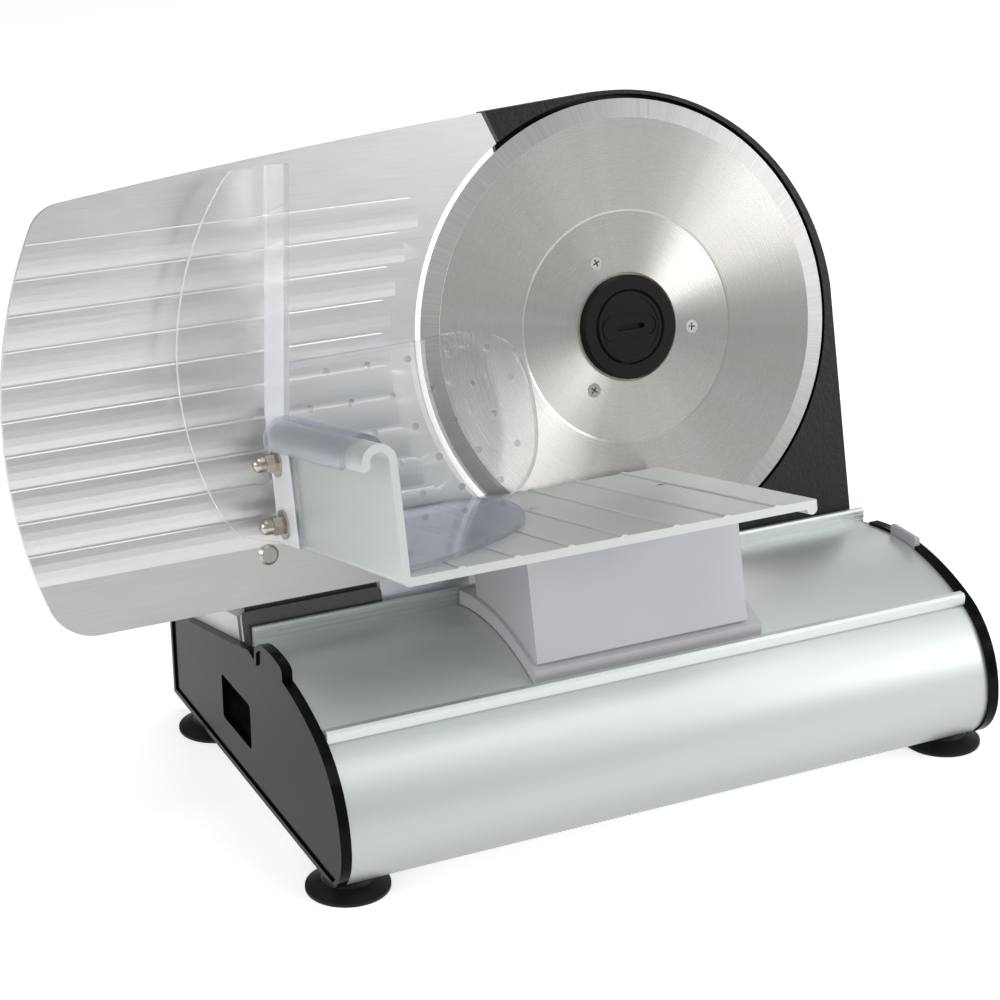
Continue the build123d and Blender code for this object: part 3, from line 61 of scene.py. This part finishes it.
# --- material helper ---
class Finish:
    """A Principled material with short calls for its texture nodes."""

    def __init__(self, name, color, **values):
        self.mat = bpy.data.materials.new(name)
        self.mat.use_nodes = True
        self.tree = self.mat.node_tree
        self.shader = self.tree.nodes["Principled BSDF"]
        self.shader.inputs["Base Color"].default_value = (*color, 1)
        for socket, value in values.items():
            self.shader.inputs[socket.replace("_", " ")].default_value = value

    def add(self, kind, inputs=None, **settings):
        node = self.tree.nodes.new(kind)
        for name, value in settings.items():
            setattr(node, name, value)
        for key, value in (inputs or {}).items():
            if isinstance(value, bpy.types.NodeSocket):
                self.tree.links.new(value, node.inputs[key])
            else:
                node.inputs[key].default_value = value
        return node

    def set(self, socket, value):
        self.tree.links.new(value, self.shader.inputs[socket])

    def place(self, centre=(0, 0, 0), turn=(0, 0, 0), scale=(1, 1, 1)):
        """Object coordinates measured from centre, turned, and divided by scale."""
        source = self.add("ShaderNodeTexCoord").outputs["Object"]
        node = self.add("ShaderNodeMapping", {"Vector": source}, vector_type="TEXTURE")
        node.inputs["Location"].default_value = centre
        node.inputs["Rotation"].default_value = turn
        node.inputs["Scale"].default_value = scale
        return node.outputs["Vector"]

    def math(self, operation, a, b=0.0):
        node = self.add("ShaderNodeMath", operation=operation)
        for index, value in enumerate((a, b)):
            if isinstance(value, bpy.types.NodeSocket):
                self.tree.links.new(value, node.inputs[index])
            else:
                node.inputs[index].default_value = value
        return node.outputs[0]

    def split(self, vector):
        return self.add("ShaderNodeSeparateXYZ", {"Vector": vector}).outputs

    def join(self, x=0.0, y=0.0, z=0.0):
        return self.add("ShaderNodeCombineXYZ", {"X": x, "Y": y, "Z": z}).outputs[0]

    def noise(self, vector, scale, detail, roughness=0.5):
        return self.add(
            "ShaderNodeTexNoise",
            {
                "Vector": vector,
                "Scale": scale,
                "Detail": detail,
                "Roughness": roughness,
            },
        ).outputs["Fac"]

    def spread(self, value, low, high, to_low, to_high):
        return self.add(
            "ShaderNodeMapRange",
            {0: value, 1: low, 2: high, 3: to_low, 4: to_high},
        ).outputs[0]

    def mix(self, factor, a, b):
        """Colour mix of two colours or sockets."""
        node = self.add("ShaderNodeMix", data_type="RGBA")
        for index, value in ((0, factor), (6, a), (7, b)):
            if isinstance(value, bpy.types.NodeSocket):
                self.tree.links.new(value, node.inputs[index])
            elif index == 0:
                node.inputs[index].default_value = value
            else:
                node.inputs[index].default_value = (*value, 1)
        return node.outputs[2]

    def bump(self, height, strength, distance):
        node = self.add(
            "ShaderNodeBump", {"Height": height, "Strength": strength, "Distance": distance}
        )
        self.set("Normal", node.outputs[0])

    def dress(self, *names):
        """Give this material to pieces."""
        for name in names:
            mesh = PIECES[name].data
            mesh.materials.clear()
            mesh.materials.append(self.mat)


def shades(color, down, up):
    """A colour darkened and lightened by fractions of itself."""
    low = tuple(channel * (1 - down) for channel in color)
    high = tuple(min(1.0, channel * (1 + up)) for channel in color)
    return low, high


def about_blade(finish):
    """(radius, angle) sockets about the blade's axis, in metres and radians."""
    u, v, _ = finish.split(finish.place(BLADE_CENTRE, BLADE_TURN))
    uu, vv = finish.math("MULTIPLY", u, u), finish.math("MULTIPLY", v, v)
    radius = finish.math("SQRT", finish.math("ADD", uu, vv))
    return radius, finish.math("ARCTAN2", v, u)


def ring_tangent(finish, bevel):
    """World tangent out from the blade's axis, or round it where bevel is 1."""
    spot = finish.add("ShaderNodeNewGeometry").outputs["Position"]
    arm = finish.add("ShaderNodeVectorMath", {0: spot, 1: BLADE_CENTRE}, operation="SUBTRACT")
    turn = finish.add(
        "ShaderNodeVectorMath", {0: W_AXIS, 1: arm.outputs[0]}, operation="CROSS_PRODUCT"
    )
    pick = finish.add("ShaderNodeMix", {0: bevel}, data_type="VECTOR")
    finish.tree.links.new(arm.outputs[0], pick.inputs[4])
    finish.tree.links.new(turn.outputs[0], pick.inputs[5])
    unit = finish.add("ShaderNodeVectorMath", {0: pick.outputs[1]}, operation="NORMALIZE")
    return unit.outputs[0]


# --- thickness plate with its lower left corner rounded ---
# Millimetres along the blade's axes, as in part.py.
PLATE_LOW_V = -100.6
PLATE_LEFT_ARC = ((-281.0, 90.5), (-309.3, 2.0), (-294.0, -100.6))
CORNER_RADIUS = 22.0
CORNER_CUTS = 16
WELD_M = 0.000002
SHARP_DEG = 5


def circle_through(a, b, c):
    """Centre and radius of the circle through three points."""
    (ax, ay), (bx, by), (cx, cy) = a, b, c
    twice_area = 2 * (ax * (by - cy) + bx * (cy - ay) + cx * (ay - by))
    aa, bb, cc = ax * ax + ay * ay, bx * bx + by * by, cx * cx + cy * cy
    centre = Vector((
        (aa * (by - cy) + bb * (cy - ay) + cc * (ay - by)) / twice_area,
        (aa * (cx - bx) + bb * (ax - cx) + cc * (bx - ax)) / twice_area,
    ))
    return centre, (centre - Vector(a)).length


def corner_planes():
    """Points and outward directions of planes that graze the rounded corner."""
    side, side_radius = circle_through(*PLATE_LEFT_ARC)
    v = PLATE_LOW_V + CORNER_RADIUS
    u = side.x - math.sqrt((side_radius - CORNER_RADIUS) ** 2 - (v - side.y) ** 2)
    centre = Vector((u, v))
    away = centre - side
    first, last = -math.pi / 2, math.atan2(away.y, away.x)
    for step in range(CORNER_CUTS + 1):
        angle = first + (last - first) * step / CORNER_CUTS
        out = Vector((math.cos(angle), math.sin(angle)))
        yield centre + out * CORNER_RADIUS, out


def cut_off(shape, spot, out):
    """Remove what lies beyond a plane and close the cut."""
    cut = bmesh.ops.bisect_plane(
        shape,
        geom=[*shape.verts, *shape.edges, *shape.faces],
        plane_co=at(spot.x, spot.y, 0),
        plane_no=U_AXIS * out.x + V_AXIS * out.y,
        clear_outer=True,
    )["geom_cut"]
    rims = [piece for piece in cut if isinstance(piece, bmesh.types.BMEdge)]
    if rims:
        bmesh.ops.holes_fill(shape, edges=rims, sides=0)


plate_node = NODES["thickness_plate"]
plate = bpy.data.objects.new("plate_rounded", plate_node.data.copy())
plate.matrix_world = plate_node.matrix_world.copy()
bpy.context.scene.collection.objects.link(plate)
shape = bmesh.new()
shape.from_mesh(plate.data)
shape.transform(plate.matrix_world)
bmesh.ops.remove_doubles(shape, verts=shape.verts, dist=WELD_M)
for spot, out in corner_planes():
    cut_off(shape, spot, out)
bmesh.ops.recalc_face_normals(shape, faces=shape.faces)
shape.transform(plate.matrix_world.inverted())
shape.to_mesh(plate.data)
shape.free()
plate.data.shade_smooth()
plate.data.set_sharp_from_angle(angle=math.radians(SHARP_DEG))
weighted = plate.modifiers.new("weighted", "WEIGHTED_NORMAL")
weighted.keep_sharp = True
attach(plate, "plate")
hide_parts("thickness_plate")
PIECES["thickness_plate"] = plate

# --- metals ---
BEVEL_INNER_R = 0.1007
BEVEL_FULL_R = 0.1011

blade = Finish("blade_steel", (0.53, 0.515, 0.50), Metallic=1.0, Roughness=0.3, Anisotropic=0.85)
radius, angle = about_blade(blade)
around = blade.math("COSINE", angle), blade.math("SINE", angle)
rings = blade.noise(blade.join(radius), 2600, 3, 0.7)
broad = blade.noise(blade.join(radius), 240, 2, 0.5)
# Painted highlight: sectors of lighter and darker colour round the blade's axis stand in for the
# fan highlights of the turned face.
fan_highlight_sectors = blade.noise(blade.join(*around), 7, 4, 0.6)
bevel = blade.spread(radius, BEVEL_INNER_R, BEVEL_FULL_R, 0, 1)
grind = blade.noise(
    blade.join(*(blade.math("MULTIPLY", part, 90) for part in around), radius), 3, 2
)
ground = blade.mix(grind, (0.40, 0.40, 0.395), (0.68, 0.68, 0.675))
face = blade.mix(fan_highlight_sectors, (0.485, 0.462, 0.44), (0.59, 0.58, 0.565))
blade.set("Base Color", blade.mix(bevel, face, ground))
rough = blade.math("ADD", blade.math("MULTIPLY", rings, 0.16), 0.2)
blade.set("Roughness", blade.math("ADD", rough, blade.math("MULTIPLY", bevel, 0.3)))
blade.set("Tangent", ring_tangent(blade, bevel))
lines = blade.math("ADD", rings, blade.math("MULTIPLY", broad, 0.6))
blade.bump(blade.math("ADD", lines, blade.math("MULTIPLY", grind, bevel)), 0.25, 0.00004)
blade.dress("blade")

# Heights between which the painted shade near the bench fades out.
SCRATCH_STRETCH = 45.0
SHADE_FULL_BELOW_Z = 0.02
SHADE_NONE_ABOVE_Z = 0.075


def brushed(name, color, along, roughness):
    """Brushed metal whose scratches run along one axis of the blade's frame."""
    finish = Finish(name, color, Metallic=1.0, Roughness=roughness, Anisotropic=0.5)
    stretch = [1.0, 1.0, 1.0]
    stretch["uvw".index(along)] = SCRATCH_STRETCH
    scratch = finish.noise(finish.place(BLADE_CENTRE, BLADE_TURN, stretch), 2200, 3, 0.6)
    cloud = finish.noise(finish.place(BLADE_CENTRE, BLADE_TURN), 9, 2)
    finish.set("Base Color", finish.mix(scratch, *shades(color, 0.1, 0.1)))
    rough = finish.math("ADD", finish.math("MULTIPLY", scratch, 0.16), roughness - 0.08)
    finish.set("Roughness", finish.math("ADD", rough, finish.math("MULTIPLY", cloud, 0.05)))
    finish.bump(scratch, 0.3, 0.00002)
    return finish


def satin(name, color, roughness, metallic=0.85, bench_shade=0):
    """Fine bead-blasted and anodised aluminium, with painted shade darkening it towards the
    bench.
    """
    finish = Finish(name, color, Metallic=metallic, Roughness=roughness)
    place = finish.place()
    speck = finish.noise(place, 3200, 2, 0.6)
    cloud = finish.noise(place, 6, 2)
    shade = finish.mix(cloud, *shades(color, 0.03, 0.03))
    # Painted shade: below a set height the colour darkens towards half its value, most at the
    # bench.
    if bench_shade:
        height = finish.split(place)[2]
        painted_bench_shade = finish.spread(height, SHADE_FULL_BELOW_Z, SHADE_NONE_ABOVE_Z, bench_shade, 0)
        shade = finish.mix(painted_bench_shade, shade, tuple(channel * 0.5 for channel in color))
    finish.set("Base Color", shade)
    finish.set("Roughness", finish.spread(speck, 0.3, 0.7, roughness - 0.05, roughness + 0.07))
    finish.bump(speck, 0.22, 0.00003)
    return finish


brushed("plate_brushed", (0.67, 0.67, 0.665), "u", 0.36).dress("thickness_plate")
satin("base_anodised", (0.68, 0.71, 0.71), 0.46, metallic=0.9, bench_shade=0.7).dress(
    "front_extrusion", "rear_extrusion"
)
satin("tray_anodised", (0.64, 0.675, 0.655), 0.42, metallic=0.75).dress("carriage_tray")
satin("block_satin", (0.86, 0.90, 0.94), 0.36).dress("guide_block")
brushed("fixings_nickel", (0.50, 0.455, 0.40), "u", 0.2).dress(
    "guard_bolts", "guard_nuts", "guard_washers"
)
brushed("rivet_steel", (0.50, 0.475, 0.44), "v", 0.32).dress("plate_rivets")
brushed("zinc", (0.70, 0.71, 0.70), "u", 0.3).dress(
    "foot_nuts", "button_spring", "blade_axle", "cover_screws", "lead_screw",
    "screw_clips", "tray_screws",
)
brushed("screw_steel", (0.36, 0.355, 0.34), "u", 0.4).dress("blade_screws")
brushed("sheet_steel", (0.66, 0.67, 0.67), "u", 0.35).dress(
    "base_plate", "motor_clamp", "axle_bracket", "switch_bracket", "screw_post", "motor_can",
    "bearing_block", "worm_shaft", "motor_bearings",
)
brushed("brass", (0.80, 0.62, 0.32), "w", 0.25).dress("gear_bush", "screw_nut")
brushed("rotor", (0.32, 0.26, 0.22), "v", 0.45).dress("armature")


# --- plastics and rubber ---
def moulded(name, color, roughness, grain=900, depth=0.00004, coat=0.0, shine=0.5):
    """Moulded plastic with a fine spark-eroded grain."""
    finish = Finish(
        name,
        color,
        Roughness=roughness,
        Coat_Weight=coat,
        Coat_Roughness=0.08,
        Specular_IOR_Level=shine,
    )
    place = finish.place()
    speck = finish.noise(place, grain, 4, 0.6)
    cloud = finish.noise(place, 14, 2)
    finish.set("Base Color", finish.mix(cloud, *shades(color, 0.1, 0.08)))
    finish.set("Roughness", finish.spread(speck, 0.3, 0.7, roughness - 0.07, roughness + 0.07))
    finish.bump(speck, 0.35, depth)
    return finish


moulded("pedestal_plastic", (0.49, 0.48, 0.51), 0.42, 2600, 0.00002).dress("pedestal")
moulded("cap_plastic", (0.003, 0.003, 0.0035), 0.16, 700, 0.000004, shine=0.06).dress(
    "left_end_cap", "right_end_cap"
)
moulded("button_plastic", (0.42, 0.43, 0.46), 0.35).dress("power_button")
moulded("black_plastic", (0.005, 0.005, 0.005), 0.4, shine=0.16).dress(
    "power_switch", "hub_ring", "hub_lock", "cord_gland", "thickness_knob"
)
moulded("gear_nylon", (0.74, 0.72, 0.65), 0.4).dress("blade_gear")
moulded("rail_plastic", (0.55, 0.56, 0.56), 0.4).dress("guide_rails", "glide_pads")
moulded("carrier_plastic", (0.05, 0.05, 0.058), 0.2, 900, 0.00001, 0.7).dress(
    "carrier_cover", "plate_carrier"
)
moulded("foot_rubber", (0.007, 0.007, 0.007), 0.5, 1500, 0.00005, shine=0.22).dress(
    "foot_front_left", "foot_front_right", "foot_rear_left", "foot_rear_right"
)
moulded("bracket_black", (0.02, 0.02, 0.022), 0.4).dress("plate_bracket")
moulded("housing_wrinkle", (0.006, 0.006, 0.007), 0.42, 420, 0.0009, shine=0.3).dress(
    "blade_guard", "motor_cover"
)


# --- clear plastics ---
GUARD_FLANGE_U = -0.181
GUARD_ALPHA = 0.2
GUARD_HIGHLIGHT_ALPHA = 0.85
PUSHER_ALPHA = 0.25
PUSHER_RIM_ALPHA = 0.8


def clear(name, tint, depth):
    """Clear moulded sheet that takes a tint in its thickness."""
    finish = Finish(name, (1, 1, 1), Roughness=0.04, Transmission_Weight=1.0, IOR=1.49)
    finish.bump(finish.noise(finish.place(), 26, 2), 0.12, 0.0004)
    output = finish.tree.nodes["Material Output"]
    density = finish.add("ShaderNodeVolumeAbsorption", {"Color": (*tint, 1), "Density": depth})
    finish.tree.links.new(density.outputs[0], output.inputs["Volume"])
    return finish


def off_axis(finish, axis, low, high):
    """1 where the surface faces well away from an axis, 0 where it faces along it."""
    normal = finish.add("ShaderNodeNewGeometry").outputs["Normal"]
    dot = finish.add("ShaderNodeVectorMath", {0: normal, 1: axis}, operation="DOT_PRODUCT")
    return finish.spread(finish.math("ABSOLUTE", dot.outputs["Value"]), low, high, 1, 0)


guard = clear("guard_clear", (0.9, 0.94, 0.96), 3)
side = guard.split(guard.place(BLADE_CENTRE, BLADE_TURN))[0]
left_of_flange = guard.spread(side, GUARD_FLANGE_U - 0.004, GUARD_FLANGE_U - 0.002, 1, 0.3)
# Painted highlight: sheet edges facing away from the blade's axis turn near-white and mostly
# opaque, weaker on the flange.
edge_highlight = guard.math("MULTIPLY", off_axis(guard, W_AXIS, 0.6, 0.9), left_of_flange)
guard.set("Base Color", guard.mix(edge_highlight, (1, 1, 1), (0.93, 0.95, 0.98)))
guard.set("Alpha", guard.spread(edge_highlight, 0, 1, GUARD_ALPHA, GUARD_HIGHLIGHT_ALPHA))
guard.set("Transmission Weight", guard.spread(edge_highlight, 0, 1, 1, 0.3))
guard.dress("thumb_guard")

pusher = clear("pusher_clear", (0.6, 0.7, 0.95), 12)
grazing = pusher.add("ShaderNodeLayerWeight", {"Blend": 0.5}).outputs["Facing"]
outline = pusher.spread(grazing, 0.5, 0.95, 0, 1)
sides = pusher.math("MULTIPLY", off_axis(pusher, W_AXIS, 0.5, 0.9), 0.4)
deep = pusher.math("MAXIMUM", outline, sides)
pusher.set("Base Color", pusher.mix(deep, (0.96, 0.98, 1.0), (0.16, 0.2, 0.42)))
pusher.set("Alpha", pusher.spread(deep, 0, 1, PUSHER_ALPHA, PUSHER_RIM_ALPHA))
pusher.dress("food_pusher")

# --- floor, light and camera ---
bpy.context.scene.view_settings.view_transform = "Standard"

bpy.ops.mesh.primitive_plane_add(size=40, location=(0, 0, 0))
floor = bpy.context.object
floor.name = "floor"
floor_finish = Finish(
    "floor_white",
    (0.88, 0.88, 0.88),
    Roughness=0.8,
    Emission_Color=(1, 1, 1, 1),
    Emission_Strength=0.5,
)
floor.data.materials.append(floor_finish.mat)

world = bpy.data.worlds.new("studio")
bpy.context.scene.world = world
world.use_nodes = True
sky = world.node_tree
direction = sky.nodes.new("ShaderNodeTexCoord").outputs["Generated"]
parts = sky.nodes.new("ShaderNodeSeparateXYZ")
sky.links.new(direction, parts.inputs[0])


def sky_ramp(source, stops):
    """Colour ramp over a component of the sky's direction, from -1 to 1."""
    span = sky.nodes.new("ShaderNodeMapRange")
    span.inputs[1].default_value = -1
    sky.links.new(source, span.inputs[0])
    ramp = sky.nodes.new("ShaderNodeValToRGB")
    ramp.color_ramp.interpolation = "EASE"
    while len(ramp.color_ramp.elements) < len(stops):
        ramp.color_ramp.elements.new(0.5)
    for element, (spot, level) in zip(ramp.color_ramp.elements, stops):
        element.position = (spot + 1) / 2
        element.color = (level, level, level, 1)
    sky.links.new(span.outputs[0], ramp.inputs[0])
    return ramp.outputs[0]


depth_light = sky_ramp(parts.outputs["Y"], ((-1, 0.78), (-0.5, 0.85), (0.2, 0.6), (0.75, 0.34)))
height_light = sky_ramp(parts.outputs["Z"], ((-1, 0.8), (0.1, 0.8), (0.45, 0.9), (1, 1.0)))
blend = sky.nodes.new("ShaderNodeMix")
blend.data_type = "RGBA"
blend.blend_type = "MULTIPLY"
blend.inputs[0].default_value = 1
sky.links.new(depth_light, blend.inputs[6])
sky.links.new(height_light, blend.inputs[7])
background = sky.nodes["Background"]
sky.links.new(blend.outputs[2], background.inputs["Color"])
background.inputs["Strength"].default_value = 0.72


def soft_light(name, spot, target, size, power):
    """Rectangular area light aimed at a point."""
    light = bpy.data.lights.new(name, "AREA")
    light.shape = "RECTANGLE"
    light.size, light.size_y = size
    light.energy = power
    lamp = bpy.data.objects.new(name, light)
    bpy.context.scene.collection.objects.link(lamp)
    lamp.location = spot
    lamp.rotation_euler = (Vector(target) - Vector(spot)).to_track_quat("-Z", "Y").to_euler()


soft_light("top", (0.7, -0.9, 1.7), (0, -0.05, 0.1), (1.1, 0.9), 6)
soft_light("over", (0.1, 0.15, 1.9), (0, 0, 0.1), (0.9, 0.9), 6)
soft_light("behind", (1.75, 1.45, 0.85), (0.1, 0, 0.1), (1.0, 0.7), 4.5)
soft_light("left", (-1.6, -0.1, 0.9), (0, 0, 0.15), (0.7, 0.7), 9)
soft_light("fan", (1.25, -1.0, 0.62), (0.08, 0, 0.2), (0.32, 0.4), 7)

CAMERA_SPOT = (-0.45591, -0.97126, 0.5581)
CAMERA_TURN = 25.687
CAMERA_TILT = 21.029
CAMERA_ROLL = -0.30

camera = bpy.data.cameras.new("camera")
camera.lens = 88.27
camera.sensor_width = 36.0
camera.shift_x = -0.0126
camera.shift_y = -0.0273
camera.clip_end = 60
eye = bpy.data.objects.new("camera", camera)
bpy.context.scene.collection.objects.link(eye)
eye.location = CAMERA_SPOT
eye.rotation_euler = (
    Euler((0, 0, -math.radians(CAMERA_TURN))).to_matrix()
    @ Euler((math.radians(90 - CAMERA_TILT), 0, 0)).to_matrix()
    @ Euler((0, 0, math.radians(CAMERA_ROLL))).to_matrix()
).to_euler()
bpy.context.scene.camera = eye
